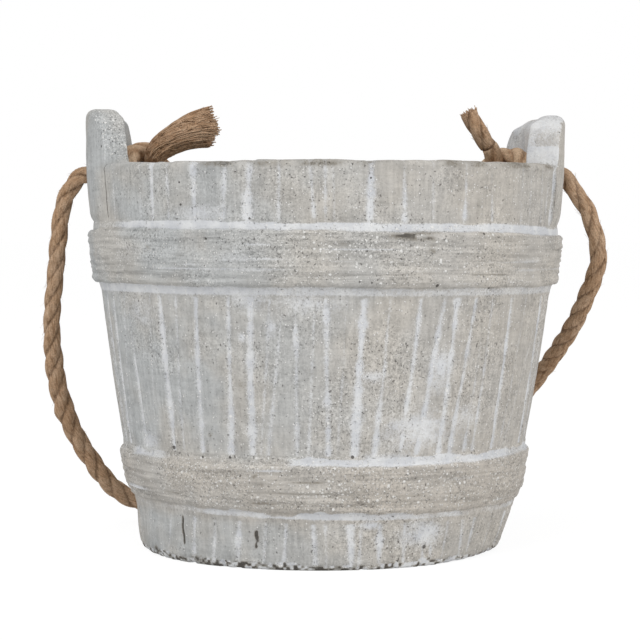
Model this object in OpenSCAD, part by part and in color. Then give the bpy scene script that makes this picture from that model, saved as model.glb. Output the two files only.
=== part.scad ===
// A cast cement flower pot in the shape of a coopered pail: staves, two hoops
// and two ears that carry a rope handle, which is knotted inside each ear.
// Millimetres. The origin is the middle of the foot, +Z is up, and the ears
// stand on the X axis. The handle hangs behind the pot, on the +Y side.

/* [Wall] */
// Height of the rim above the ground
rim_h = 177; // [155:1:210]
// Outside diameter at the rim
rim_d = 220; // [200:1:260]
// Outside diameter at the foot
foot_d = 168; // [150:1:190]
// How far the wall swells beyond a straight taper at mid height
wall_bulge = 3.2; // [0:0.1:6]
// Wall thickness at the rim
rim_wall = 13; // [11:0.5:18]
// Inside diameter at the floor
well_floor_d = 140; // [110:1:150]
// Thickness of the floor
floor_t = 16; // [10:1:30]
// Rounding between the floor and the inside wall
well_round = 12; // [4:1:25]
// Rounding of the rim's edges
rim_round = 2.5; // [1:0.5:4]
// Rounding of the foot's edge
foot_round = 3; // [1:0.5:6]
// Diameter of the drain hole
drain_d = 14; // [8:1:30]

/* [Staves] */
// Joints between the staves behind the pot, in degrees round from the +X side
back_joints = [45, 68, 95, 117, 138];
// Joints between the staves at the front
front_joints = [223, 249, 277, 300, 317];
// Width of a joint
joint_w = 2.2; // [1:0.1:4]
// Depth of a joint
joint_depth = 1.1; // [0.5:0.1:2]

/* [Hoops] */
// Height of the upper hoop's lower edge
upper_hoop_z = 123.5; // [105:0.5:126]
// Height of the upper hoop, edge to edge
upper_hoop_h = 23.5; // [14:0.5:26]
// How far the upper hoop stands out from the staves
upper_hoop_proud = 3.3; // [2:0.1:5]
// Height of the lower hoop's lower edge
lower_hoop_z = 24; // [12:0.5:40]
// Height of the lower hoop, edge to edge
lower_hoop_h = 23; // [14:0.5:32]
// How far the lower hoop stands out from the staves
lower_hoop_proud = 2.6; // [2:0.1:5]
// Rounding of the hoops' edges
hoop_round = 1.8; // [0.5:0.1:2]
// Reach of the slope that runs from a hoop's edge onto the staves
hoop_fillet = 4; // [1:0.5:6]

/* [Ears] */
// Height of the ears above the rim
ear_rise = 25.5; // [20:0.5:40]
// Width of an ear, across the rim
ear_w = 85; // [64:1:100]
// Rounding of an ear's upper corners, seen from the side
ear_arch = 22; // [8:1:28]
// How far an ear's stave stands out from its neighbours
ear_proud = 1.3; // [0.5:0.1:3]
// How far an ear stands in from the inside wall
ear_inner_proud = 0.6; // [0.3:0.1:2]
// Rounding of an ear's top edge on the outside
ear_outer_round = 3; // [1:0.5:5]
// Rounding of an ear's top edge on the inside
ear_inner_round = 8; // [3:0.5:8]

/* [Rope] */
// Diameter of the rope
rope_d = 7.5; // [6:0.5:9]
// Diameter of the rope's hole in each ear
rope_hole_d = 10; // [9.5:0.5:13]
// Depth of the rope's hole below the rim, at its centre
rope_hole_drop = 4; // [0:0.5:12]
// How much of its diameter the rope keeps where a knot squeezes it
knot_squeeze = 0.92; // [0.8:0.01:0.94]
// Diameter of the brush at the frayed end
fray_d = 17; // [10:0.5:20]
// Diameter of the cut end
cut_d = 8.5; // [7:0.1:10]

/* [Hidden] */

cement = [0.72, 0.71, 0.68];
jute = [0.66, 0.52, 0.38];
fine = 128;
wall_steps = 14;
arc_steps = 5;
joint_runout = 5;
rope_sides = 10;
knot_sides = 8;
knot_ease = 6;
drawn_rope_d = 7.5;
corner_slack = 0.25;

ear_top = rim_h + ear_rise;
rope_z = rim_h - rope_hole_drop;
ear_r = rim_d / 2 + ear_proud;
ear_in = well_r(rim_h) - ear_inner_proud;

// Half of the angle that an ear takes of the rim, and the joints at its edges
ear_half = asin(ear_w / 2 / ear_r);
joint_turn = joint_w / (rim_d / 2) * 180 / PI;
ear_joints = [for (middle = [0, 180], side = [-1, 1]) middle + side * (ear_half + joint_turn / 2)];

// The bore's mouths, and the middle of the bore, where the handle meets a knot
mouth_out = ear_r;
mouth_in = well_r(rope_z) - ear_inner_proud;
bore_mid = (mouth_out + mouth_in) / 2;

// The handle's route, from each ear to the ground behind the pot. A point is
// how far out it lies from the ear's face, how far behind the pot's middle,
// and how far below the rope's hole.
left_route = [
    [1, 0, 0], [6, 1, 4], [11, 3, 14], [13.5, 6, 30], [15.5, 12, 47], [17.8, 20, 68],
    [17.6, 28, 86], [15.6, 36, 103], [10.4, 46, 121], [1, 55, 139], [-11, 65, 155],
    [-28, 77, 164], [-50, 93, 168], [-76, 107, 169], [-104, 114, 169],
];
right_route = [
    [1, 0, 0], [5.2, 1, 6], [12.4, 3, 16], [18.4, 8, 32], [19.2, 14, 44], [16.2, 26, 58],
    [13, 40, 71], [8.4, 54, 83], [2, 72, 97], [-8, 86, 113], [-24, 98, 131],
    [-46, 108, 149], [-70, 113, 161], [-92, 115, 167],
];

// An overhand knot drawn up to the ear, from the mouth of its hole. A point is
// how far into the well it lies, how far behind and how far above the hole. The
// rope runs in, bends back, wraps over and round itself, and comes up through
// the bend.
knot_route = [
    [4, 0, 0], [10, 0, -1], [16, 0.5, -2], [22.5, 3.5, -1], [24.5, 10, 3],
    [20, 14.5, 8], [13, 12, 11.5], [7, 4.5, 11.5], [4.2, -4, 8], [5, -7.5, 0.5],
    [8.5, -6, -6.5], [12.5, -0.5, -9.5], [15.5, 6.5, -8], [15.5, 8.5, -0.5], [15.5, 5, 7],
];
left_tail = [[17, 1, 10], [18.5, 0, 12]];
left_fray = [[22.5, -1.5, 15], [29, -3.5, 18.5], [37, -4, 21.5], [44, -4, 23.5]];
right_tail = [[17, 2, 10.5], [19, 0.5, 13.5]];
right_end = [[21.5, -0.5, 17], [24.5, -1, 21.5], [28.5, -1, 29]];

// Outside radius of the staves at height z
function wall_r(z) =
    let (t = z / rim_h)
    foot_d / 2 + (rim_d - foot_d) / 2 * t + 4 * wall_bulge * t * (1 - t);

// Inside radius of the well at height z, which the ears continue upwards
function well_r(z) =
    let (t = (z - floor_t) / (rim_h - floor_t))
    well_floor_d / 2 + (rim_d / 2 - rim_wall - well_floor_d / 2) * t;

// Points of an arc about a centre, from one angle to another
function arc(centre, r, from, to, steps = arc_steps) =
    [for (i = [0:steps]) let (a = from + (to - from) * i / steps) centre + r * [cos(a), sin(a)]];

// The staves' outline between two heights, as it rises
function stave_line(from, to, grow = 0) =
    [for (i = [0:wall_steps]) let (z = from + (to - from) * i / wall_steps) [wall_r(z) + grow, z]];

module shell() {
    rotate_extrude($fn = fine)
        polygon(concat(
            [[0, 0]],
            arc([wall_r(0) - foot_round, foot_round], foot_round, -90, 0),
            stave_line(foot_round + 1, rim_h - rim_round),
            arc([wall_r(rim_h) - rim_round, rim_h - rim_round], rim_round, 10, 90),
            arc([well_r(rim_h) + rim_round, rim_h - rim_round], rim_round, 90, 180),
            arc([well_r(floor_t) - well_round, floor_t + well_round], well_round, 0, -90),
            [[0, floor_t]]
        ));
}

// One joint between two staves, from the foot up over the rim's edge
module stave_joint(angle) {
    rotate([0, 0, angle - joint_turn / 2])
        rotate_extrude(angle = joint_turn, $fn = fine)
            polygon(concat(
                stave_line(-joint_depth, rim_h + joint_depth, -joint_depth),
                [[rim_d / 2 + joint_runout, rim_h + joint_depth]],
                [[rim_d / 2 + joint_runout, -joint_depth]]
            ));
}

// A hoop's section rises from the staves on a slope, with rounded edges
module hoop(z, h, proud) {
    lip = proud - hoop_round;
    top = z + h;
    rotate_extrude($fn = fine)
        polygon(concat(
            [[wall_r(z - hoop_fillet) - 2 * joint_depth, z - hoop_fillet]],
            [[wall_r(z - hoop_fillet), z - hoop_fillet], [wall_r(z) + lip / 2, z]],
            arc([wall_r(z + hoop_round) + lip, z + hoop_round], hoop_round, -80, 0),
            arc([wall_r(top - hoop_round) + lip, top - hoop_round], hoop_round, 10, 80),
            [[wall_r(top) + lip / 2, top], [wall_r(top + hoop_fillet), top + hoop_fillet]],
            [[wall_r(top + hoop_fillet) - 2 * joint_depth, top + hoop_fillet]]
        ));
}

// The wall's section where it rises into an ear
module ear_section() {
    root = upper_hoop_z + upper_hoop_h / 2;
    inner_root = rim_h - ear_rise;
    inner_round = min(ear_inner_round, ear_r - ear_in - ear_outer_round - 1);
    polygon(concat(
        stave_line(root, rim_h, ear_proud),
        arc([ear_r - ear_outer_round, ear_top - ear_outer_round], ear_outer_round, 0, 90),
        arc([ear_in + inner_round, ear_top - inner_round], inner_round, 90, 180),
        [[ear_in, rim_h]],
        [[well_r(inner_root + ear_inner_proud) - ear_inner_proud, inner_root + ear_inner_proud]],
        [[well_r(inner_root) + rim_wall / 3, inner_root]],
        [[wall_r(root) - rim_wall / 3, root]]
    ));
}

// What is cut away to round one upper corner of an ear, along the X axis. The
// round runs out just past the ear's side, so it crosses the side's edge.
module ear_corner() {
    rotate([90, 0, 90])
        translate([ear_w / 2 + corner_slack - ear_arch, ear_top - ear_arch, ear_in - 2 * rim_wall])
            difference() {
                translate([0, 0, rim_wall])
                    cube([2 * ear_arch, 2 * ear_arch, 3 * rim_wall]);
                cylinder(h = 5 * rim_wall, r = ear_arch, $fn = fine);
            }
}

module ear() {
    difference() {
        rotate([0, 0, -ear_half])
            rotate_extrude(angle = 2 * ear_half, $fn = fine) ear_section();
        ear_corner();
        mirror([0, 1, 0]) ear_corner();
    }
}

module pot_casting() {
    color(cement)
        difference() {
            union() {
                difference() {
                    shell();
                    for (a = concat(back_joints, front_joints, ear_joints)) stave_joint(a);
                }
                hoop(upper_hoop_z, upper_hoop_h, upper_hoop_proud);
                hoop(lower_hoop_z, lower_hoop_h, lower_hoop_proud);
                ear();
                mirror([1, 0, 0]) ear();
            }
            translate([0, 0, -1])
                cylinder(h = floor_t + 2, d = drain_d, $fn = 64);
            translate([0, 0, rope_z])
                rotate([0, 90, 0])
                    cylinder(h = rim_d + 4 * ear_proud, d = rope_hole_d, center = true, $fn = 64);
        }
}

// A smooth curve through a route's points, as pairs of a place and a heading
function bend(p, i, t) =
    let (
        a = p[max(i - 1, 0)],
        b = p[i],
        c = p[i + 1],
        d = p[min(i + 2, len(p) - 1)],
        u = c - a,
        v = 2 * a - 5 * b + 4 * c - d,
        w = 3 * b - 3 * c + d - a
    )
    [b + (u * t + v * t * t + w * t * t * t) / 2, u + 2 * v * t + 3 * w * t * t];
function curve(p, steps) = concat(
    [for (i = [0:len(p) - 2]) for (k = [0:steps - 1]) bend(p, i, k / steps)],
    [bend(p, len(p) - 2, 1)]
);

function unit(v) = v / norm(v);

// A side direction for each heading, carried along so that the tube never twists
function sides_along(headings, side, i = 0) =
    i == len(headings) ? [] :
    let (h = unit(headings[i]), s = unit(side - (side * h) * h))
    concat([s], sides_along(headings, s, i + 1));

// A closed tube along a curve, with a radius for each ring
module tube(stations, radii, sides) {
    headings = [for (s = stations) s[1]];
    across = sides_along(headings, [0.1, 0.2, 1]);
    rings = len(stations);
    points = [
        for (i = [0:rings - 1])
            let (u = across[i], v = cross(unit(headings[i]), u))
            for (k = [0:sides - 1])
                let (a = 360 * k / sides)
                stations[i][0] + radii[i] * (u * cos(a) + v * sin(a))
    ];
    skin = [
        for (i = [0:rings - 2], k = [0:sides - 1])
            let (a = i * sides + k, b = i * sides + (k + 1) % sides)
            each [[a, a + sides, b + sides], [a, b + sides, b]]
    ];
    first = [for (k = [0:sides - 1]) k];
    last = [for (k = [0:sides - 1]) rings * sides - 1 - k];
    polyhedron(points, concat(skin, [first], [last]), convexity = 10);
}

// Places of the handle's route on one side, -1 for the left and 1 for the right
function beside(route, side) =
    [for (p = route) [side * (ear_r + p[0]), p[1], rope_z - p[2]]];

handle_points = concat(
    [[-bore_mid, 0, rope_z]],
    beside(left_route, -1),
    [for (i = [len(right_route) - 1:-1:0]) beside(right_route, 1)[i]],
    [[bore_mid, 0, rope_z]]
);

module handle_rope() {
    stations = curve(handle_points, 2);
    color(jute)
        tube(stations, [for (s = stations) rope_d / 2], rope_sides);
}

// Places inside the left ear, for points that grow with the rope
function inside(route) =
    [for (p = route) [-mouth_in, 0, rope_z] + p * rope_d / drawn_rope_d];

// The rope is full in the bore and in the tail, and squeezed within the knot
function knot_radius(i, rings) =
    let (ease = min(1, min(i, rings - 1 - i) / knot_ease))
    rope_d / 2 * (1 + (knot_squeeze - 1) * ease);

module knot(tail) {
    route = concat(
        [[-bore_mid, 0, rope_z], [-mouth_in, 0, rope_z]],
        inside(concat(knot_route, tail))
    );
    stations = curve(route, 3);
    rings = len(stations);
    tube(stations, [for (i = [0:rings - 1]) knot_radius(i, rings)], knot_sides);
}

// A rope's end, which starts on the face where its tail stops and widens to d
module rope_end(tail, tip, d) {
    last = len(tail) - 1;
    heading = tail[last] - tail[last - 1];
    start = [tail[last], heading * rope_d / drawn_rope_d];
    stations = concat(
        [[inside([start[0]])[0], start[1]]],
        [for (s = curve(inside(tip), 2)) s]
    );
    rings = len(stations);
    tube(stations, [for (i = [0:rings - 1]) (rope_d + (d - rope_d) * i / (rings - 1)) / 2], knot_sides);
}

module left_knot() {
    color(jute) knot(left_tail);
}

module left_frayed_end() {
    color(jute) rope_end(left_tail, left_fray, fray_d);
}

module right_knot() {
    color(jute) mirror([1, 0, 0]) knot(right_tail);
}

module right_cut_end() {
    color(jute) mirror([1, 0, 0]) rope_end(right_tail, right_end, cut_d);
}

pot_casting();
handle_rope();
left_knot();
left_frayed_end();
right_knot();
right_cut_end();
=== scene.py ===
"""Dresses the flower pot: a cast cement pail with white lime wash, and a laid jute rope.

Lengths are written in millimetres, as in the part's source, and angles in degrees.
An angle round the pot starts at +X, and 270 is the front. The mesh is made in metres.
"""
import math

import bpy
import numpy as np
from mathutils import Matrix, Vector


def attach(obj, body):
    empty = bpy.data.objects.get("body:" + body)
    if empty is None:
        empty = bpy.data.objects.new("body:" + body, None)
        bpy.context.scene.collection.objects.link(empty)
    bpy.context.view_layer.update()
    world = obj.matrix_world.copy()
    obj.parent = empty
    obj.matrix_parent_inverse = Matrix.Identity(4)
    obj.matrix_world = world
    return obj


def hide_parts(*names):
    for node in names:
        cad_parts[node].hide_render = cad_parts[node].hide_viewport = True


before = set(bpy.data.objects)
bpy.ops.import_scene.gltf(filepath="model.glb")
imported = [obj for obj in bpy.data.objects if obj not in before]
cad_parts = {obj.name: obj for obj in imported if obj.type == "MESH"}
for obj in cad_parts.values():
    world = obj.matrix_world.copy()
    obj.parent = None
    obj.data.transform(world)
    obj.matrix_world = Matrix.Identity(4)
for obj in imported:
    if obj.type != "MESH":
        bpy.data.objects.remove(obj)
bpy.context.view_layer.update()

MM = 0.001


def srgb(red, green, blue):
    """Blender's linear colour for a screen's colour from 0 to 255."""
    linear = [((c / 255 + 0.055) / 1.055) ** 2.4 for c in (red, green, blue)]
    return (*linear, 1.0)


def in_scene(name, data):
    """A new object with this data, put into the scene."""
    made = bpy.data.objects.new(name, data)
    bpy.context.scene.collection.objects.link(made)
    return made


# The photograph's view: a long lens, a little above the rim, 3 degrees to the left
SENSOR_W = 36.0
FOCAL = 124.45
EYE = (-56.0, -1035.0, 149.2)
LOOK_DOWN = 2.425
LOOK_RIGHT = 2.955
# In metres
SIGHT = 100.0


def add_camera():
    data = bpy.data.cameras.new("camera")
    data.sensor_width = SENSOR_W
    data.lens = FOCAL
    data.clip_end = SIGHT
    camera = in_scene("camera", data)
    camera.location = [c * MM for c in EYE]
    camera.rotation_euler = (math.radians(90 - LOOK_DOWN), 0, math.radians(-LOOK_RIGHT))
    bpy.context.scene.camera = camera


add_camera()

# The pot, with the sizes of the part's source
RIM_H = 177.0
RIM_R = 110.0
FOOT_R = 84.0
WALL_BULGE = 3.2
FLOOR_T = 16.0
WELL_FLOOR_R = 70.0
RIM_WALL = 13.0
WELL_ROUND = 12.0
FOOT_ROUND = 3.0
RIM_ROUND = 2.5
DRAIN_R = 7.0
HOOP_FILLET = 4.0
HOOP_ROUND = 1.8
# Lower edge, upper edge and how far the hoop stands out
LOWER_HOOP = (24.0, 47.0, 2.6)
UPPER_HOOP = (123.5, 147.0, 3.3)
EAR_R = 111.3
EAR_IN = 96.4
EAR_TOP = 202.5
EAR_HALF_W = 42.5
EAR_ARCH = 22.0
EAR_HALF = math.degrees(math.asin(EAR_HALF_W / EAR_R))
BORE_Z = 173.0
BORE_R = 5.0
BORE_SIDES = 48

# The rope's route, as the part's source has it
# The strands' crowns stand a little proud of the rope's stated width
ROPE_R = 4.1
CUT_R = 4.3
MOUTH_IN = 95.73
BORE_MID = (EAR_R + MOUTH_IN) / 2
LEFT_ROUTE = [
    (1, 0, 0), (6, 1, 4), (11, 3, 14), (13.5, 6, 30), (15.5, 12, 47), (17.8, 20, 68),
    (17.6, 28, 86), (15.6, 36, 103), (10.4, 46, 121), (1, 55, 139), (-11, 65, 155),
    (-28, 77, 164), (-50, 93, 168), (-76, 107, 169), (-104, 114, 169),
]
RIGHT_ROUTE = [
    (1, 0, 0), (5.2, 1, 6), (12.4, 3, 16), (18.4, 8, 32), (19.2, 14, 44), (16.2, 26, 58),
    (13, 40, 71), (8.4, 54, 83), (2, 72, 97), (-8, 86, 113), (-24, 98, 131),
    (-46, 108, 149), (-70, 113, 161), (-92, 115, 167),
]
KNOT_ROUTE = [
    (4, 0, 0), (10, 0, -1), (16, 0.5, -2), (22.5, 3.5, -1), (24.5, 10, 3),
    (20, 14.5, 8), (13, 12, 11.5), (7, 4.5, 11.5), (4.2, -4, 8), (5, -7.5, 0.5),
    (8.5, -6, -6.5), (12.5, -0.5, -9.5), (15.5, 6.5, -8), (15.5, 8.5, -0.5), (15.5, 5, 7),
]
LEFT_TAIL = [(17, 1, 10), (18.5, 0, 12)]
LEFT_FRAY = [(22.5, -1.5, 15), (29, -3.5, 18.5), (37, -4, 21.2), (44, -4, 22.7)]
RIGHT_TAIL = [(17, 2, 10.5), (19, 0.5, 13.5)]
RIGHT_END = [(21.5, -0.5, 17), (24.5, -1, 21.5), (28.5, -1, 29)]


def beside(route, side):
    """Places of the handle's route on one side, -1 for the left and 1 for the right."""
    return [(side * (EAR_R + out), back, BORE_Z - down) for out, back, down in route]


def inside(route, side):
    """Places inside an ear, counted from the inner mouth of its hole."""
    return [(side * (MOUTH_IN - into), back, BORE_Z + up) for into, back, up in route]


def smooth_curve(places, steps):
    """A smooth curve through the places, with the same spline as the part's source."""
    p = np.array([places[0], *places, places[-1]], float)
    t = (np.arange(steps) / steps)[:, None]
    runs = []
    for a, b, c, d in zip(p, p[1:], p[2:], p[3:]):
        u, v, w = c - a, 2 * a - 5 * b + 4 * c - d, 3 * b - 3 * c + d - a
        runs.append(b + (u * t + v * t**2 + w * t**3) / 2)
    return np.vstack([*runs, p[-1:]])


def arc_lengths(curve):
    """How far along the curve each of its points lies."""
    return np.concatenate([[0], np.cumsum(np.linalg.norm(np.diff(curve, axis=0), axis=1))])


def spread(line, count, endpoint=True):
    """count points spread evenly over a line, with or without its end."""
    along = arc_lengths(line)
    at = np.linspace(0, along[-1], count, endpoint=endpoint)
    return np.stack([np.interp(at, along, part) for part in np.transpose(line)], axis=1)


def evenly(curve, pitch):
    """The curve again, with its points about one pitch apart."""
    return spread(curve, round(arc_lengths(curve)[-1] / pitch) + 1)


HANDLE = smooth_curve(
    [(-BORE_MID, 0, BORE_Z)] + beside(LEFT_ROUTE, -1)
    + beside(RIGHT_ROUTE, 1)[::-1] + [(BORE_MID, 0, BORE_Z)], 12)


def sides_along(curve):
    """Headings and two side directions at each point, carried along without a twist."""
    heading = np.gradient(curve, axis=0)
    heading /= np.linalg.norm(heading, axis=1)[:, None]
    side = np.array([0.1, 0.2, 1.0])
    across = []
    for h in heading:
        side = side - side.dot(h) * h
        side = side / np.linalg.norm(side)
        across.append(side)
    across = np.array(across)
    return heading, across, np.cross(heading, across)


def full_turn(sides):
    """The angles of a ring's vertices."""
    return np.linspace(0, math.tau, sides, endpoint=False)


def rings_round(curve, radius, angle):
    """Rings round the points of a curve. No vertex goes below the ground."""
    _, up, left = sides_along(curve)
    ring = (curve[:, None] + (radius * np.cos(angle))[..., None] * up[:, None]
            + (radius * np.sin(angle))[..., None] * left[:, None])
    ring[..., 2] = np.maximum(ring[..., 2], 0)
    return ring


def quads(rings, sides, closed=False):
    """Quads between rings of vertices, and from the last ring to the first where closed."""
    i, k = np.meshgrid(np.arange(rings if closed else rings - 1), np.arange(sides), indexing="ij")
    i2, k2 = (i + 1) % rings, (k + 1) % sides
    corners = [i * sides + k, i * sides + k2, i2 * sides + k2, i2 * sides + k]
    return np.stack(corners, axis=-1).reshape(-1, 4)


class Shape:
    """Gathers vertices in millimetres, faces and one number of each kind at each vertex."""

    def __init__(self, *kinds):
        self.points, self.faces, self.count = [], [], 0
        self.values = {kind: [] for kind in kinds}

    def add(self, points, faces, **values):
        points = points.reshape(-1, 3)
        self.faces += (faces + self.count).tolist()
        self.points.append(points)
        self.count += len(points)
        for kind, kept in self.values.items():
            kept.append(np.broadcast_to(np.ravel(values[kind]), (len(points),)))

    def tube(self, ring, **values):
        """Adds a tube through the rings, closed at both ends."""
        rings, sides = ring.shape[:2]
        self.add(ring, quads(rings, sides), **values)
        first, last = self.count - rings * sides, self.count - sides
        self.faces += [list(range(first, first + sides))[::-1], list(range(last, last + sides))]

    def mesh(self, name):
        mesh = bpy.data.meshes.new(name)
        mesh.from_pydata((np.vstack(self.points) * MM).tolist(), [], self.faces)
        for kind, kept in self.values.items():
            layer = mesh.attributes.new(kind, "FLOAT", "POINT")
            layer.data.foreach_set("value", np.concatenate(kept).astype(np.float32))
        return mesh

    def piece(self, name, material, body, slot, *nodes):
        """Makes the gathered shape one piece that rides on a body and stands for CAD nodes."""
        obj = in_scene(name, self.mesh(name))
        obj.data.shade_smooth()
        obj.data.materials.append(material)
        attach(obj, body)
        if nodes:
            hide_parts(*nodes)
        return obj


def sheet_noise(u, v, cells_u, cells_v, seed):
    """Smooth random heights from -1 to 1. The sheet wraps round where u goes from 0 to 1."""
    table = np.random.default_rng(seed).uniform(-1, 1, (cells_v + 2, cells_u))
    x, y = (u % 1) * cells_u, np.clip(v, 0, 1) * cells_v
    i, j = np.floor(x).astype(int), np.floor(y).astype(int)
    fx, fy = step(x - i, 0, 1), step(y - j, 0, 1)
    i, i2 = i % cells_u, (i + 1) % cells_u
    low = table[j, i] * (1 - fx) + table[j, i2] * fx
    high = table[j + 1, i] * (1 - fx) + table[j + 1, i2] * fx
    return low * (1 - fy) + high * fy


def line_noise(x, cell, seed):
    """Smooth random heights from -1 to 1 along a line."""
    span = 4000 * cell
    return sheet_noise(x / span, np.zeros_like(x), 4000, 1, seed)


def step(value, low, high):
    """0 below low, 1 above high and a smooth rise between them."""
    t = np.clip((value - low) / (high - low), 0, 1)
    return t * t * (3 - 2 * t)


# Materials
CEMENT_KINDS = ("lime", "dark", "specks", "level")
# deep is the share of painted shade in the rope's grooves, and below 0 a painted highlight
JUTE_KINDS = ("deep", "along", "around")
PURE_WHITE = (1, 1, 1, 1)


class Shader:
    """Writes nodes in a node tree."""

    def __init__(self, tree):
        self.tree = tree

    def fill(self, node, inputs):
        """Links or sets a node's inputs."""
        for key, value in inputs.items():
            if isinstance(value, bpy.types.NodeSocket):
                self.tree.links.new(value, node.inputs[key])
            else:
                node.inputs[key].default_value = value

    def node(self, kind, inputs, **options):
        made = self.tree.nodes.new("ShaderNode" + kind)
        for key, value in options.items():
            setattr(made, key, value)
        self.fill(made, inputs)
        return made

    def out(self, kind, inputs, **options):
        return self.node(kind, inputs, **options).outputs[0]

    def calc(self, operation, *values):
        return self.out("Math", dict(enumerate(values)), operation=operation)

    def times(self, a, b):
        return self.calc("MULTIPLY", a, b)

    def rise(self, value, low, high, out_low=0.0, out_high=1.0):
        return self.out("MapRange", {0: value, 1: low, 2: high, 3: out_low, 4: out_high},
                        interpolation_type="SMOOTHSTEP")

    def mix(self, share, a, b, blend="MIX"):
        made = self.node("Mix", {0: share, 6: a, 7: b}, data_type="RGBA", blend_type=blend)
        return made.outputs[2]

    def carried(self, name):
        return self.node("Attribute", {}, attribute_name=name).outputs["Fac"]

    def stretched(self, where, scale):
        return self.out("Mapping", {"Vector": where, "Scale": scale})

    def noise(self, where, scale, detail, rough):
        return self.out("TexNoise", {
            "Vector": where, "Scale": scale, "Detail": detail, "Roughness": rough})

    def total(self, base, *parts):
        """A base level plus a share of each noise, after a soft step."""
        for noise, share in parts:
            base = self.calc("MULTIPLY_ADD", self.rise(noise, 0.3, 0.7), share, base)
        return base

    def dots(self, where, scale, share, radius):
        """Round dots in that share of the cells, each with a size of its own."""
        cells = self.node("TexVoronoi", {"Vector": where, "Scale": scale})
        chance = self.node("SeparateColor", {0: cells.outputs["Color"]})
        picked = self.calc("LESS_THAN", chance.outputs[0], share)
        size = self.rise(chance.outputs[1], 0.0, 1.0, 0.4 * radius, radius)
        inner = self.times(size, 0.6)
        round_off = self.out("MapRange", {0: cells.outputs["Distance"], 1: size, 2: inner})
        return self.times(round_off, picked)

    def bump(self, height, depth, **under):
        return self.out("Bump", {"Height": height, "Distance": depth, "Strength": 1.0, **under})

    def seen(self):
        """1 for the rays that show the background, straight or in a reflection."""
        ray = self.node("LightPath", {}).outputs
        indirect = self.calc("MAXIMUM", ray["Is Glossy Ray"], ray["Is Transmission Ray"])
        return self.calc("MAXIMUM", ray["Is Camera Ray"], indirect)


def new_material(name):
    """A material, and the shader that writes its nodes."""
    material = bpy.data.materials.new(name)
    material.use_nodes = True
    return material, Shader(material.node_tree)


# Pits in the pot's face: angle, height and radius
PITS = [
    (222, 52, 0.8), (232.5, 49, 0.5), (241, 49.5, 0.6), (274, 50.5, 0.7), (232, 168, 0.4),
    (232, 158.5, 0.5), (249.5, 152.5, 0.5), (277, 169.5, 0.4), (297.5, 9, 0.8), (293, 124, 0.6),
    (309, 122.5, 0.5), (305, 146, 0.5), (239.5, 144, 0.5), (200.5, 185, 0.5), (45, 110, 0.8),
    (102, 62, 0.9), (131, 166, 0.6),
]
PIT_DRUM_R = 100.0


def pits(s, at):
    """1 in the listed pits. They are looked up on a drum, which the wall's slope can't stretch."""
    x, y, z = s.node("SeparateXYZ", {0: at}).outputs
    out = s.calc("SQRT", s.calc("MULTIPLY_ADD", x, x, s.times(y, y)))
    onto_drum = s.calc("DIVIDE", PIT_DRUM_R * MM, s.calc("MAXIMUM", out, MM))
    x, y = s.times(x, onto_drum), s.times(y, onto_drum)
    drum = s.out("CombineXYZ", {0: x, 1: y, 2: z})
    found = 0.0
    for angle, height, radius in PITS:
        turn = math.radians(angle)
        place = (PIT_DRUM_R * math.cos(turn) * MM, PIT_DRUM_R * math.sin(turn) * MM, height * MM)
        gap = s.node("VectorMath", {0: drum, 1: place}, operation="DISTANCE").outputs["Value"]
        found = s.calc("MAXIMUM", found, s.rise(gap, 1.15 * radius * MM, 0.75 * radius * MM))
    return found


def bare_cement(s, at, east, height):
    """The cement's hue, warmer on the lower hoop, with painted light: a cooler tint on the left and a
    warmer one on the right.
    """
    cloud = s.noise(at, 30, 3, 0.5)
    grey = s.mix(s.rise(east, -0.09, 0.09), srgb(177, 179, 179), srgb(181, 177, 171))
    grey = s.mix(s.rise(cloud, 0.36, 0.64, 0.0, 0.6), grey, srgb(187, 181, 172))
    hooped = s.times(s.rise(height, 0.052, 0.044, 0.0, 0.5), s.rise(height, 0.018, 0.026))
    return s.mix(hooped, grey, srgb(184, 176, 166))


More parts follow.
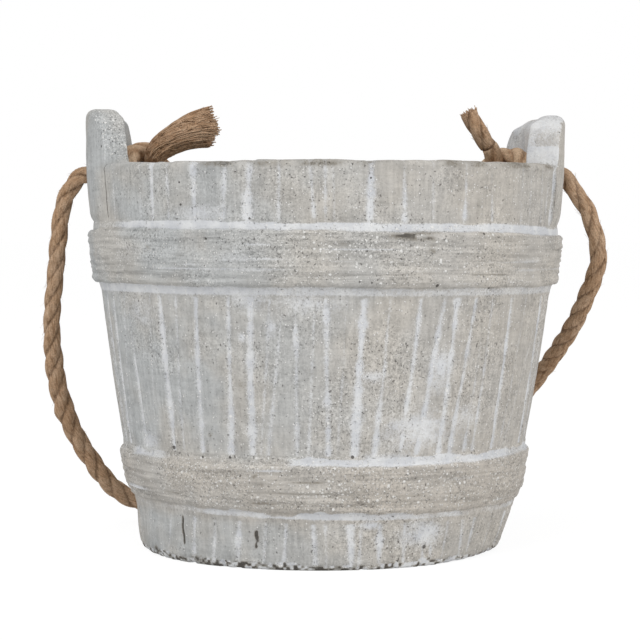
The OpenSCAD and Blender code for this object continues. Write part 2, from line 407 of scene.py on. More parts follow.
def cement_material():
    material, s = new_material("whitewashed_cement")
    at = s.node("TexCoord", {}).outputs["Object"]
    east, _, height = s.node("SeparateXYZ", {0: at}).outputs
    lime, dark, specks, level = (s.carried(kind) for kind in CEMENT_KINDS)
    sand = s.noise(at, 1500, 2, 0.6)
    grit = s.noise(at, 820, 3, 0.65)
    mottle = s.noise(at, 110, 5, 0.65)

    # Streaks: upright on the staves, level on the hoops
    upright = s.noise(s.stretched(at, (1, 1, 0.05)), 620, 3, 0.6)
    across = s.noise(s.stretched(at, (0.06, 0.06, 1)), 700, 3, 0.65)
    brushed = s.noise(s.stretched(at, (0.22, 0.22, 1)), 300, 4, 0.65)
    streak = s.out("Mix", {0: level, 2: upright, 3: across}, data_type="FLOAT")
    rough = s.calc("MULTIPLY_ADD", specks, 0.25, s.noise(at, 34, 3, 0.6))
    rough = s.rise(rough, 0.46, 0.74, 0.3, 1.45)
    grain = s.times(rough, s.total(-0.28, (sand, 0.26), (grit, 0.30)))
    tone = s.total(0.725, (mottle, 0.18), (streak, 0.2), (across, 0.08), (brushed, 0.13))
    tone = s.calc("ADD", tone, grain)
    grey = s.mix(1.0, bare_cement(s, at, east, height), tone, "MULTIPLY")

    # Lime wash, and white grains of two sizes
    ragged = s.calc("MULTIPLY_ADD", s.calc("ADD", grit, sand), 0.7, -0.7)
    cover = s.rise(s.calc("MULTIPLY_ADD", lime, 1.1, ragged), 0.1, 0.9, 0.0, 0.95)
    white = s.mix(s.rise(mottle, 0.35, 0.65), srgb(205, 207, 211), srgb(224, 225, 226))
    colour = s.mix(cover, grey, white)
    large = s.dots(at, 460, s.calc("MULTIPLY_ADD", specks, 1.2, -0.5), 0.4)
    flakes = s.calc("MAXIMUM", large, s.dots(at, 850, s.times(specks, 1.1), 0.42))
    colour = s.mix(s.times(flakes, 0.8), colour, srgb(240, 239, 236))

    # Grime, with a painted shade line beside the left ear, and painted shade in pinholes and pits
    stained = s.calc("ADD", grit, s.times(sand, 0.6))
    stained = s.calc("MULTIPLY_ADD", stained, 1.2, -0.96)
    grime_and_shade = s.rise(s.calc("ADD", stained, dark), 0.25, 1.0, 0.0, 0.9)
    soot_and_shade = s.mix(s.rise(dark, 0.65, 1.0), srgb(124, 117, 105), srgb(72, 67, 60))
    colour = s.mix(grime_and_shade, colour, soot_and_shade)
    # Painted shade in the pinholes and the listed pits: a dark colour where the holes lie
    pinholes = s.calc("MULTIPLY_ADD", rough, -0.04, s.noise(at, 1000, 2, 0.5))
    pinholes = s.rise(pinholes, 0.295, 0.245)
    pinholes = s.times(pinholes, s.rise(cover, 0.5, 0.95, 0.75, 0.35))
    holes = s.calc("MAXIMUM", pinholes, pits(s, at))
    colour = s.mix(s.times(holes, 0.85), colour, srgb(76, 72, 68))

    normal = s.bump(streak, 0.3 * MM)
    normal = s.bump(grit, 0.3 * MM, Normal=normal)
    normal = s.bump(flakes, 0.2 * MM, Normal=normal)
    normal = s.bump(s.calc("SUBTRACT", 1.0, holes), 0.6 * MM, Normal=normal)
    s.fill(s.tree.nodes["Principled BSDF"], {
        "Base Color": colour, "Roughness": s.rise(cover, 0.0, 1.0, 0.93, 0.82),
        "Specular IOR Level": 0.25, "Normal": normal})
    return material


def jute_material():
    material, s = new_material("jute_rope")
    at = s.node("TexCoord", {}).outputs["Object"]
    deep, along, around = (s.carried(kind) for kind in JUTE_KINDS)
    laid = s.out("CombineXYZ", {0: along, 1: around, 2: 0.0})
    fibre = s.noise(s.stretched(laid, (0.22, 1.5, 1)), 1.0, 4, 0.7)
    tuft = s.noise(s.stretched(laid, (0.16, 0.5, 1)), 1.0, 3, 0.6)
    cloud = s.noise(at, 70, 3, 0.6)
    sand = s.noise(at, 1500, 3, 0.7)

    tan = s.mix(s.rise(cloud, 0.35, 0.65), srgb(181, 147, 116), srgb(195, 165, 137))
    tan = s.mix(s.rise(tuft, 0.52, 0.3, 0.0, 0.65), tan, srgb(132, 98, 67))
    tan = s.mix(s.rise(fibre, 0.5, 0.32, 0.0, 0.75), tan, srgb(116, 86, 58))
    tan = s.mix(s.rise(fibre, 0.52, 0.72, 0.0, 0.6), tan, srgb(212, 190, 163))
    # Painted light: above 0 lies a groove, which gets painted shade, and below 0 a lightened crown gets
    # a pale painted highlight
    tan = s.mix(s.rise(deep, 0.0, -1.0, 0.0, 0.6), tan, srgb(228, 202, 172))
    # The grooves' painted shade, a dark brown, broken up by the tufts
    gap = s.times(s.rise(deep, 0.1, 1.0), s.rise(tuft, 0.62, 0.38, 0.1, 0.75))
    tan = s.mix(gap, tan, srgb(92, 67, 44))
    tan = s.mix(1.0, tan, s.total(0.74, (sand, 0.48)), "MULTIPLY")
    s.fill(s.tree.nodes["Principled BSDF"], {
        "Base Color": tan, "Roughness": s.rise(fibre, 0.2, 0.8, 0.95, 0.8),
        "Specular IOR Level": 0.2,
        "Normal": s.bump(sand, 0.08 * MM, Normal=s.bump(fibre, 0.5 * MM))})
    return material


CEMENT = cement_material()
JUTE = jute_material()

# The rope
STRANDS = 3
LAY = 38.0
ROPE_SIDES = 36
ROPE_PITCH = 1.1
# A strand's distance from the rope's middle and its radius, as shares of the rope's radius
STRAND_OUT = 0.42
STRAND_R = 0.58
# How much of the grooves the loose fibres leave open
OPEN = 0.6
YARNS = 6
YARN_TWIST = 1.9
YARN_RELIEF = 0.028


def laid_rope(curve, radius, seed, lightened=0.0):
    """One closed skin over three strands laid round each other. radius is one number a point.
    Where it is lightened, its grooves get less painted shade and the crowns of its strands a pale
    painted highlight."""
    along = arc_lengths(curve)[:, None]
    turn = math.tau * along / LAY
    third = math.tau / STRANDS
    angle = full_turn(ROPE_SIDES) + turn
    strand = np.round((angle - turn) / third)
    off = angle - turn - strand * third
    reach = STRAND_OUT * np.cos(off) + np.sqrt(STRAND_R**2 - (STRAND_OUT * np.sin(off)) ** 2)
    on_strand = np.arctan2(reach * np.sin(off), reach * np.cos(off) - STRAND_OUT)
    # Painted shade: 1 in a groove and 0 on a crown, lowered where lightened, and below 0 a painted
    # highlight
    deep = 1 - step(reach, STRAND_R + 0.02, 0.97) - lightened
    yarn = on_strand + YARN_TWIST * turn
    ridge = YARN_RELIEF * np.cos(YARNS * yarn + 2.1 * strand)
    wander = 0.02 * line_noise(along + 300 * (strand % STRANDS), 7.0, seed)
    r = radius[:, None] * (1 - OPEN * (1 - reach) + ridge + wander)
    shape = Shape(*JUTE_KINDS)
    shape.tube(rings_round(curve, r, angle), deep=deep, along=np.broadcast_to(along, r.shape),
               around=2.4 * yarn + 17 * (strand % STRANDS))
    return shape


def add_fibre(shape, places, thick, number, sides=3, tip=0.25):
    """One thin fibre through the places, with its tip's thickness as a share of its own."""
    curve = smooth_curve(places, 3)
    share = np.linspace(1, tip, len(curve))[:, None]
    ring = rings_round(curve, share * thick / 2, full_turn(sides))
    # Some fibres get a touch of painted shade
    shape.tube(ring, deep=0.1 * (number % 3), along=np.repeat(arc_lengths(curve), sides) + number,
               around=1.7 * number)


def add_fuzz(shape, curve, count, seed):
    """Loose fibre ends that stand off the rope at a low angle."""
    rng = np.random.default_rng(seed)
    heading, up, left = sides_along(curve)
    for n in range(count):
        i = rng.integers(4, len(curve) - 12)
        turn = rng.uniform(0, math.tau)
        outward = math.cos(turn) * up[i] + math.sin(turn) * left[i]
        sideways = np.cross(heading[i], outward)
        reach = rng.uniform(2.0, 5.0)
        lift = rng.uniform(0.1, 0.4)
        drift = rng.uniform(-0.6, 0.6)
        root = curve[i] + outward * ROPE_R * 0.86
        places = [root + (heading[i] * t + outward * lift * t * t + sideways * drift * t) * reach
                  for t in (0, 0.35, 0.7, 1.0)]
        add_fibre(shape, places, 0.2, n)


def from_place(curve, place):
    """How far each point of the curve lies from a place."""
    return np.linalg.norm(curve - np.array(place), axis=1)


HANDLE_CURVE = evenly(HANDLE, ROPE_PITCH)
SNAG_Z = 60.0
# How many loose ends stand off each stretch
FUZZ = {"handle": 900, "knot": 110, "cut_end": 60}


def handle_radius():
    """The rope is fuller low down, where its lay has opened, and has a snag on the left."""
    x, _, z = HANDLE_CURVE.T
    loose = np.where(x < 0, step(z, 105, 80), 0.5 * step(z, 150, 125))
    snag = np.exp(-((z - SNAG_Z) / 3.0) ** 2) * (x < -80)
    return ROPE_R * (1 + 0.14 * loose + 0.16 * snag)


def handle_piece():
    shape = laid_rope(HANDLE_CURVE, handle_radius(), 11)
    return shape.piece("rope_handle", JUTE, "rope_handle", "jute_rope", "handle_rope")


def fuzz_piece():
    shape = Shape(*JUTE_KINDS)
    add_fuzz(shape, HANDLE_CURVE, FUZZ["handle"], 12)
    return shape.piece("rope_handle_fuzz", JUTE, "rope_handle", "jute_rope")


# Pulled up tight, the rope bulges: most of all where it arches over at the top of a knot
KNOT_SWELL = 0.06
# How much the knots are lightened: less painted shade in their grooves and a painted highlight on their
# crowns
KNOT_LIGHTENED = 0.6
ARCH_SWELL = 0.28
ARCH_REACH = 9.0
ARCH = 6
# Heights of the route's top five places, which each knot has settled to
SETTLED = {-1: [0.0, 3.0, 9.6, 10.2, 8.0], 1: [-1.0, 1.0, 7.2, 8.6, 7.5]}


def knot_piece(name, side, tail, node):
    knot = list(KNOT_ROUTE)
    for n, up in enumerate(SETTLED[side], ARCH - 2):
        knot[n] = (*knot[n][:2], up)
    in_ear = [(side * BORE_MID, 0, BORE_Z), (side * MOUTH_IN, 0, BORE_Z)]
    curve = evenly(smooth_curve(in_ear + inside(knot + tail, side), 10), ROPE_PITCH)
    along = arc_lengths(curve)
    swollen = step(along, 8, 20) * step(along[-1] - along, 0, 12)
    [arch] = inside([knot[ARCH]], side)
    bulge = np.exp(-(from_place(curve, arch) / ARCH_REACH) ** 2)
    radius = ROPE_R * (1 + KNOT_SWELL * swollen + ARCH_SWELL * bulge)
    shape = laid_rope(curve, radius, 21 + side, KNOT_LIGHTENED)
    add_fuzz(shape, curve, FUZZ["knot"], 23 + side)
    return shape.piece(name, JUTE, "pot", "jute_rope", node)


CUT_FIBRES = 110


def cut_end_piece():
    curve = evenly(smooth_curve(inside(RIGHT_TAIL + RIGHT_END, 1), 10), ROPE_PITCH)
    [knot_end] = inside(RIGHT_TAIL[-1:], 1)
    curve = curve[np.argmin(from_place(curve, knot_end)):]
    shape = laid_rope(curve, np.linspace(ROPE_R, CUT_R, len(curve)), 31)
    add_fuzz(shape, curve, FUZZ["cut_end"], 33)
    heading, up, left = sides_along(curve)
    rng = np.random.default_rng(34)
    for n in range(CUT_FIBRES):
        turn, out = rng.uniform(0, math.tau), CUT_R * math.sqrt(rng.uniform(0, 0.8))
        root = curve[-2] + out * (math.cos(turn) * up[-1] + math.sin(turn) * left[-1])
        lean = heading[-1] + rng.normal(0, 0.22, 3)
        end = root + rng.uniform(1.4, 2.6) * lean
        add_fibre(shape, [root, root + 0.9 * lean, end], 0.55, n, 4, 0.6)
    return shape.piece("rope_cut_end", JUTE, "pot", "jute_rope", "right_cut_end")


FRAY_ROOT = (15.5, 1.5, 8)
# The brush's width at even steps from the knot to its blunt end
FRAY_WIDTHS = [8.5, 11.0, 12.5, 14.5, 17.0, 19.0]
FRAY_SIDES = 48
LOCKS = 30
LONG_FIBRES = 660
TIP_FIBRES = 520


class Brush:
    """The frayed end: a matted bundle, with long fibres over it and a tuft at its blunt end."""

    def __init__(self):
        route = inside([FRAY_ROOT, LEFT_TAIL[-1]] + LEFT_FRAY, -1)
        self.curve = evenly(smooth_curve(route, 10), 1.0)
        self.along = arc_lengths(self.curve)
        self.share = self.along / self.along[-1]
        steps = np.linspace(0, 1, len(FRAY_WIDTHS))
        self.half = np.interp(self.share, steps, FRAY_WIDTHS) / 2
        self.heading, self.up, self.left = sides_along(self.curve)
        self.shape = Shape(*JUTE_KINDS)

    def place(self, t, turn, far):
        """A place by its share of the length, which may pass 1, its turn and how far out it is."""
        i = min(len(self.curve) - 1, int(t * (len(self.curve) - 1)))
        beyond = max(0.0, t - 1) * self.along[-1]
        outward = math.cos(turn) * self.up[i] + math.sin(turn) * self.left[i]
        return self.curve[i] + beyond * self.heading[i] + self.half[i] * far * outward

    def add_bundle(self):
        psi = full_turn(FRAY_SIDES)
        share = self.share[:, None]
        closing = np.sqrt(np.clip(1 - (np.maximum(share - 0.8, 0) / 0.13) ** 2, 0.0004, 1))
        around = psi / (math.tau) + 0.12 * share
        locks = 0.12 * sheet_noise(around, share, 8, 2, 43)
        lumps = locks + 0.07 * sheet_noise(around, share, 22, 3, 44)
        r = self.half[:, None] * (0.86 + lumps) * closing
        # The matted bundle under the long fibres gets some painted shade
        self.shape.tube(rings_round(self.curve, r, psi), deep=0.35, around=40 * around,
                        along=np.repeat(self.along, FRAY_SIDES))

    def add_fibres(self):
        rng = np.random.default_rng(41)
        lock_turn = 2.4 * np.arange(LOCKS) + rng.normal(0, 0.15, LOCKS)
        lock_swing = rng.normal(0.5, 0.35, LOCKS)
        lock_end = rng.uniform(0.88, 1.03, LOCKS)
        for n in range(LONG_FIBRES + TIP_FIBRES):
            long, lock = n < LONG_FIBRES, n % LOCKS
            turn = lock_turn[lock] + rng.normal(0, 0.1) if long else rng.uniform(0, math.tau)
            far = rng.uniform(0.84, 1.04) if long else math.sqrt(rng.uniform(0.0, 0.95))
            start = rng.uniform(0, 0.4) if long else rng.uniform(0.55, 0.75)
            end = lock_end[lock] + 0.04 - 0.1 * far * far * (not long) + rng.normal(0, 0.025)
            tip = self.place(1, turn + 0.6 * lock_swing[lock], far)
            above = (tip[2] - self.curve[-1, 2]) / self.half[-1]
            end -= max(0.06 * above, -0.17 * above)
            swing = lock_swing[lock] + rng.normal(0, 0.06)
            bend = rng.normal(0, 0.12)
            places = []
            for t in np.linspace(start, end, 7):
                bent = turn + swing * (t - start) + bend * math.sin(9 * t)
                places.append(self.place(t, bent, far) + rng.normal(0, 0.12, 3))
            add_fibre(self.shape, places, rng.uniform(0.45, 0.95), n, 4, 0.6)

    def piece(self):
        self.add_bundle()
        self.add_fibres()
        return self.shape.piece("rope_frayed_end", JUTE, "pot", "jute_rope", "left_frayed_end")


handle = handle_piece()
fuzz = fuzz_piece()
left_knot = knot_piece("rope_left_knot", -1, LEFT_TAIL, "left_knot")
right_knot = knot_piece("rope_right_knot", 1, RIGHT_TAIL, "right_knot")
frayed_end = Brush().piece()
cut_end = cut_end_piece()

# The pot. Light lines run down the staves: angle at the top and at the bottom of the
# stretch, and strength there, from 0.5 for a faint line to 3 for a joint full of lime
UPPER_LINES = [
    (208, 207, 0.9, 0.9), (219.5, 219, 0.9, 0.9), (223.5, 223, 2.4, 2.2), (228.5, 228, 1.4, 1.4),
    (236, 235.5, 2.6, 2.6), (244, 243, 2.2, 2.2), (250, 249, 2.4, 3), (256.5, 256.5, 1.7, 1.4),
    (263.5, 264.5, 1.5, 1.5), (267, 267, 1.2, 1.2), (268.5, 269, 0.6, 1.2), (277, 277, 2.8, 3),
    (284.5, 285, 0.9, 1.9), (291.5, 292, 0.8, 0.9), (300, 300.5, 0.6, 2.2), (307.5, 309, 0, 1.8),
    (319, 319.5, 0.8, 0.8), (323, 323.5, 0.7, 0.7), (328.5, 330, 1.1, 1.1), (333, 332.5, 1, 1),
]
MIDDLE_LINES = [
    (200, 197.5, 1.8, 2.6), (207.5, 200, 1.1, 0.8), (209, 209.5, 0.6, 2.8), (219.5, 214.5, 1, 0.9),
    (223, 222.5, 2.7, 2.7), (228.5, 226, 1.1, 1.1), (234.5, 232.5, 2.3, 2.2), (243.5, 241.5, 2, 2.5),
    (249, 247.5, 3, 3.2), (254, 250, 1.3, 1), (257, 252, 0.8, 1.7), (260, 259.5, 1.7, 1.6),
    (264.5, 262.5, 0.9, 1.3), (267, 267.5, 2.1, 2), (272, 270, 0.9, 0.9), (276, 274.5, 3.3, 3.1),
    (282.5, 280, 0.7, 2.5), (290, 287, 1.8, 2.1), (296.5, 291.5, 2.1, 2.5), (300, 298.5, 2.8, 3),
    (306, 302, 1.6, 2.4), (309, 307.5, 0, 1.8), (311.5, 310.5, 1.3, 1.8), (319, 318.5, 2.2, 2.2),
    (326, 322.5, 0.9, 0.9), (336, 324.5, 0.6, 1.1), (341, 338, 1.2, 1.2),
]
FOOT_LINES = [
    (204.5, 200, 0.8, 0.8), (216, 212.5, 1.3, 1.2), (226.5, 224.5, 2.1, 1.6), (234, 232, 1.8, 1.8),
    (242, 240.5, 2.4, 2), (250, 248.5, 1.7, 1.4), (256, 254.5, 2.1, 2), (263.5, 264, 1.6, 1.6),
    (267, 267, 1.3, 1.2), (274, 274.5, 2.9, 2.8), (277, 277, 1.8, 1.5), (282.5, 283, 2.7, 2.2),
    (290, 291, 2, 1.7), (296, 297.5, 1.6, 1.2), (299, 300.5, 1.8, 1.4), (305, 305, 1.5, 1.3),
    (310.5, 312.5, 1.5, 1.3), (316.5, 316.5, 1.8, 1.5), (326, 326, 1, 1),
]
BACK_JOINTS = [-23, 23, 45, 68, 95, 117, 138, 157]
# Each stretch's lines, the seed of those at the back, and where it starts and ends, downwards
STRETCHES = {
    "upper": (UPPER_LINES, 61, RIM_H, UPPER_HOOP[1] + HOOP_FILLET + 0.5),
    "middle": (MIDDLE_LINES, 62, UPPER_HOOP[0] - HOOP_FILLET, LOWER_HOOP[1] + HOOP_FILLET),
    "foot": (FOOT_LINES, 63, LOWER_HOOP[0] - HOOP_FILLET + 0.5, 2.5),
}
# Low places in the rim: angle and half width in degrees
RIM_DIPS = [(228, 1.6), (236.5, 1.2), (244, 0.7), (250, 0.9), (277, 0.8), (331, 0.8)]
# Thin dark cracks, and at 203 a painted shade line along the left ear's edge, which only darkens the
# colour: angle, lower end, upper end and half width
CRACKS_AND_SHADE = [
    (221, 8.5, 21, 0.75), (247, 12.5, 17.5, 0.95), (246.5, 9.5, 11.5, 0.7), (203, 153, 177, 0.35),
]
# Where lime, or dirt, has settled: angle, height, half width, half height and strength
LIME_PATCHES = [
    (238, 154.5, 15, 4.5, 0.8), (222.5, 156, 3.5, 6, 0.4), (296.5, 87.5, 6.5, 11, 0.85),
    (249, 117, 12, 5, 0.6), (279, 85, 8, 3.5, 0.7), (291, 62, 20, 11, 0.75), (306, 66, 10, 9, 0.5),
    (211, 54, 9, 6, 0.7), (279.5, 20, 7, 2.2, 0.9), (283, 50, 20, 2.5, 0.6),
    (246.5, 102, 2.2, 2.2, 0.9), (254, 105.5, 3, 4, 0.8), (262, 116, 20, 5, 0.65),
    (215, 112, 14, 8, 0.5), (296, 15, 13, 8, 0.75), (246, 136, 14, 4, 0.4), (214, 138, 12, 7, 0.35),
    (315, 148, 12, 4, 0.3),
]
DIRT_PATCHES = [
    (289, 145, 22, 2.6, 1.05), (284, 145.5, 9, 1.8, 1.15), (291.5, 139.5, 3.5, 2.6, 0.9),
    (205.5, 3.5, 3.5, 2.6, 1.0), (226, 2.5, 6, 2.6, 1.0), (248, 41.5, 2.2, 1.4, 0.9),
    (250, 38.5, 1.3, 2.8, 0.95), (222.5, 140.5, 3, 1.6, 0.7), (270, 142, 10, 1.6, 0.6),
    (232, 137, 4, 1.6, 0.5), (245.5, 81.5, 4.5, 2.2, 0.65), (251.5, 90, 1.6, 1.8, 0.7),
    (235.5, 59, 2, 2.2, 0.7), (266, 110, 3.5, 1.4, 0.6), (230.5, 80.5, 6, 2, 0.4),
    (304, 146, 8, 1.5, 0.5),
]
# Rounding of an ear's top on the outside and on the inside, left and right, and at its sides
EAR_ROUNDS = {-1: (3.2, 5.0), 1: (4.5, 7.0)}
# The right ear is a little lower, and the left one thins out towards its sides
EAR_DROP = {-1: 0.0, 1: 2.3}
EAR_THIN = {-1: 2.0, 1: 0.0}
EAR_SIDE_ROUND = 0.9
# How far the pot leans in x, by height
LEAN = [(0, -2.4), (6, -2.2), (10, -1.7), (17, -0.7), (24, -0.4), (40, -0.6), (60, -0.4), (100, 0)]
# How far an edge of a hoop or the foot lies above its stated height, by angle
EDGE_LIFTS = {
    UPPER_HOOP[1]: [
        (0, -1.8), (60, 0), (150, 0), (200, 1), (236, 1.3), (265, 0.2), (310, -0.2), (340, -2.4),
    ],
    UPPER_HOOP[0]: [(0, -1), (60, 0), (150, 0), (200, 0.4), (270, 0), (340, -1)],
    LOWER_HOOP[0]: [(0, 0), (90, 0), (150, 1), (200, 2.2), (240, 2.2), (270, 1.4), (300, 0.9), (340, 0)],
    0.0: [(0, 0.8), (90, 0), (190, 0.9), (212, 0.3), (222, 0), (296, 0), (312, 0.7), (330, 1.2)],
}
# How strong the lime is along the hoops' edges, by angle
LIME_UNDER_UPPER = [(200, 0.95), (222, 0.9), (240, 0.7), (262, 0.6), (285, 0.5), (340, 0.45)]
LIME_OVER_LOWER = [
    (198, 0), (204, 0.75), (217, 0.6), (221, 0), (256, 0), (261, 1), (300, 0.95), (312, 0.7), (338, 0.6),
]
LIME_UNDER_LOWER = [
    (200, 0.35), (225, 0.4), (245, 0.6), (262, 0.85), (290, 0.9), (300, 0.45), (340, 0.3),
]
# How thick the crusty specks are on the staves, by angle
CRUST = [(0, 0.2), (90, 0.15), (200, 0.1), (235, 0.12), (280, 0.28), (340, 0.3)]
COLUMNS = 1150
# Rows of each stretch of the section, from the drain hole out, up the wall and back down
ROWS = {
    "under": 6, "edge": 7, "foot": 15, "lower_foot": 9, "lower_face": 24, "lower_head": 9, "middle": 44,
    "upper_foot": 9, "upper_face": 24, "upper_head": 9, "upper": 22, "cap": 16, "well": 26,
    "well_corner": 7, "floor": 6, "drain": 3,
}
INSIDE = ("well", "well_corner", "floor", "drain")
FACES = ("lower_face", "upper_face")
EDGES = ("lower_foot", "lower_head", "upper_foot", "upper_head")


def wall_r(z):
    t = z / RIM_H
    return FOOT_R + (RIM_R - FOOT_R) * t + 4 * WALL_BULGE * t * (1 - t)


def well_r(z):
    t = (z - FLOOR_T) / (RIM_H - FLOOR_T)
    return WELL_FLOOR_R + (RIM_R - RIM_WALL - WELL_FLOOR_R) * t


def turn_to(angle, centre):
    """The turn from the centre to an angle, the shorter way round."""
    return (angle - centre + 180) % 360 - 180


def columns():
    """The angles of the grid's columns, closer together at the front and at the ears' sides."""
    fine = np.linspace(0, 360, 14400, endpoint=False)
    weight = np.where(fine > 180, 1.0, 0.5)
    for side in (EAR_HALF, 180 - EAR_HALF, 180 + EAR_HALF, 360 - EAR_HALF):
        weight += 3.0 * np.exp(-(turn_to(fine, side) / 0.8) ** 2)
    total = np.concatenate([[0], np.cumsum(weight)])
    return np.interp(np.arange(COLUMNS) * total[-1] / COLUMNS, total, np.linspace(0, 360, 14401))


def arc(centre, r, start, end, count=6):
    a = np.radians(np.linspace(start, end, count))
    return [(centre[0] + r * math.cos(t), centre[1] + r * math.sin(t)) for t in a]


def wall_line(low, high, radius=wall_r, grow=0.0):
    return [(radius(z) + grow, z) for z in np.linspace(low, high, 12)]


def hoop_outlines(name, low, top, proud):
    """A hoop's foot, face and head, from its lower fillet to its upper one."""
    lip = proud - HOOP_ROUND
    foot = ([(wall_r(low - HOOP_FILLET), low - HOOP_FILLET), (wall_r(low) + lip / 2, low)]
            + arc((wall_r(low + HOOP_ROUND) + lip, low + HOOP_ROUND), HOOP_ROUND, -80, 0))
    face = wall_line(low + HOOP_ROUND, top - HOOP_ROUND, grow=proud)
    head = (arc((wall_r(top - HOOP_ROUND) + lip, top - HOOP_ROUND), HOOP_ROUND, 10, 80)
            + [(wall_r(top) + lip / 2, top), (wall_r(top + HOOP_FILLET), top + HOOP_FILLET)])
    return {name + "_foot": foot, name + "_face": face, name + "_head": head}


def section(height, outer, inner, outer_round, inner_round):
    """The closed section under one column, as rows of radius and height, in ROWS' order."""
    shoulder = UPPER_HOOP[1] + HOOP_FILLET
    flank = np.array(wall_line(shoulder, min(height, RIM_H) - outer_round))
    flank[:, 0] += (outer - RIM_R) * step(flank[:, 1], shoulder, shoulder + 3)
    down = np.array(wall_line(RIM_H - RIM_ROUND, FLOOR_T + WELL_ROUND, well_r))
    down[:, 0] += (inner - well_r(RIM_H)) * step(down[:, 1], shoulder, RIM_H)
    is_ear = height > RIM_H
    up = flank.tolist() + ([(outer, height - outer_round)] if is_ear else [])
    back = [(inner, height - inner_round)] + ([(inner, RIM_H)] if is_ear else []) + down.tolist()
    over = arc((outer - outer_round, height - outer_round), outer_round, 0, 90)
    over += arc((inner + inner_round, height - inner_round), inner_round, 90, 180)
    corner_r = well_r(FLOOR_T + WELL_ROUND) - WELL_ROUND
    corner = arc((corner_r, FLOOR_T + WELL_ROUND), WELL_ROUND, 0, -90, 8)
    outlines = {
        "under": [(DRAIN_R, 0), (FOOT_R - FOOT_ROUND, 0)],
        "edge": arc((wall_r(0) - FOOT_ROUND, FOOT_ROUND), FOOT_ROUND, -90, 0),
        "foot": wall_line(FOOT_ROUND, LOWER_HOOP[0] - HOOP_FILLET),
        **hoop_outlines("lower", *LOWER_HOOP),
        "middle": wall_line(LOWER_HOOP[1] + HOOP_FILLET, UPPER_HOOP[0] - HOOP_FILLET),
        **hoop_outlines("upper", *UPPER_HOOP),
        "upper": up,
        "cap": over,
        "well": back,
        "well_corner": corner,
        "floor": [corner[-1], (DRAIN_R, FLOOR_T)],
        "drain": [(DRAIN_R, FLOOR_T), (DRAIN_R, 0)],
    }
    return np.vstack([spread(outlines[name], count, False) for name, count in ROWS.items()])


def top_height(angle):
    """Height of the top at each angle: the rim, or an ear's arch."""
    across = np.abs(EAR_R * np.sin(np.radians(angle)))
    beyond = np.maximum(across - (EAR_HALF_W - EAR_ARCH), 0)
    arch = EAR_TOP - EAR_ARCH + np.sqrt(np.maximum(EAR_ARCH**2 - beyond**2, 0))
    drop = np.where(np.cos(np.radians(angle)) > 0, EAR_DROP[1], EAR_DROP[-1])
    return np.where(across < EAR_HALF_W, arch - drop, RIM_H)


class Skin:
    """The pot's grid of rows and columns, and what is done to its surface at each vertex."""

    def __init__(self):
        self.angle = columns()[None, :]
        self.names = np.repeat(list(ROWS), list(ROWS.values()))[:, None]
        heights = top_height(self.angle[0])
        rim = section(RIM_H, RIM_R, well_r(RIM_H), RIM_ROUND, RIM_ROUND)
        grid = np.repeat(rim[:, None], COLUMNS, axis=1)
        for k in np.flatnonzero(heights > RIM_H):
            turn = math.radians(self.angle[0, k])
            side = 1 if math.cos(turn) > 0 else -1
            top = EAR_TOP - EAR_DROP[side]
            near_top = step(heights[k], top - 5, top - 0.5)
            rounds = [EAR_SIDE_ROUND + (r - EAR_SIDE_ROUND) * near_top for r in EAR_ROUNDS[side]]
            thin = EAR_THIN[side] * step(abs(EAR_R * math.sin(turn)), 26, EAR_HALF_W)
            grid[:, k] = section(heights[k], EAR_R - thin, EAR_IN + thin, *rounds)
        self.r, self.z = grid[..., 0], grid[..., 1]
        # Heights before the hoops' edges are moved
        self.home = self.z.copy()
        self.lean = np.interp(self.home, *zip(*LEAN))
        self.ear = np.broadcast_to(heights > RIM_H, self.r.shape)
        self.outside = ~np.isin(self.names, INSIDE)
        self.push = np.zeros_like(self.r)
        self.kinds = {kind: np.zeros_like(self.r) for kind in CEMENT_KINDS}

    def rows(self, *which):
        return np.isin(self.names, which)

    def wave(self, cells_u, cells_v, seed):
        """Smooth random numbers from -1 to 1 over the wall, or only round it without cells_v."""
        u = np.broadcast_to(self.angle / 360, self.r.shape)
        v = self.z / EAR_TOP if cells_v else np.zeros_like(self.r)
        return sheet_noise(u, v, cells_u, max(cells_v, 1), seed)

    def by_angle(self, pairs, period=None):
        return np.interp(self.angle, *zip(*pairs), period=period)

    def most(self, kind, amount, where=True):
        """Raises one of the kinds to at least this amount, on some of the rows."""
        self.kinds[kind] = np.maximum(self.kinds[kind], np.where(where, amount, 0))

    def off(self, angle):
        """Distance round the wall from an angle, with its sign. It stays put where the pot leans."""
        lean = self.lean * np.sin(np.radians(self.angle))
        return np.radians(turn_to(self.angle, angle)) * self.r - lean

    def patch(self, angle, height, half_w, half_h, strength):
        """A soft oval about a place on the outside."""
        oval = (self.off(angle) / half_w) ** 2 + ((self.z - height) / half_h) ** 2
        return strength * np.exp(-1.2 * oval) * self.outside

    def points(self):
        """The vertices, pushed out or in along the surface's own normals."""
        theta = np.radians(self.angle)
        p = np.stack([self.r * np.cos(theta), self.r * np.sin(theta), self.z], axis=-1)
        up = np.roll(p, -1, axis=0) - np.roll(p, 1, axis=0)
        onward = np.roll(p, -1, axis=1) - np.roll(p, 1, axis=1)
        normal = np.cross(onward, up)
        normal /= np.maximum(np.linalg.norm(normal, axis=-1), 1e-9)[..., None]
        p = p + self.push[..., None] * normal
        p[..., 0] += self.lean * self.outside
        p[..., 2] = np.maximum(p[..., 2], 0)
        return p


def with_back(lines, seed):
    """The front's lines, and drawn ones of the same kind round the back."""
    rng = np.random.default_rng(seed)
    made = list(lines) + [(j, j + rng.uniform(-0.8, 0.8), 2.7, 2.7) for j in BACK_JOINTS]
    angle = -18.0
    while angle < 196:
        if min(abs(angle - j) for j in BACK_JOINTS) > 2.0:
            made.append((angle, angle + rng.uniform(-2, 2), *rng.uniform(0.7, 2.3, 2)))
        angle += rng.uniform(2.4, 6.0)
    return made


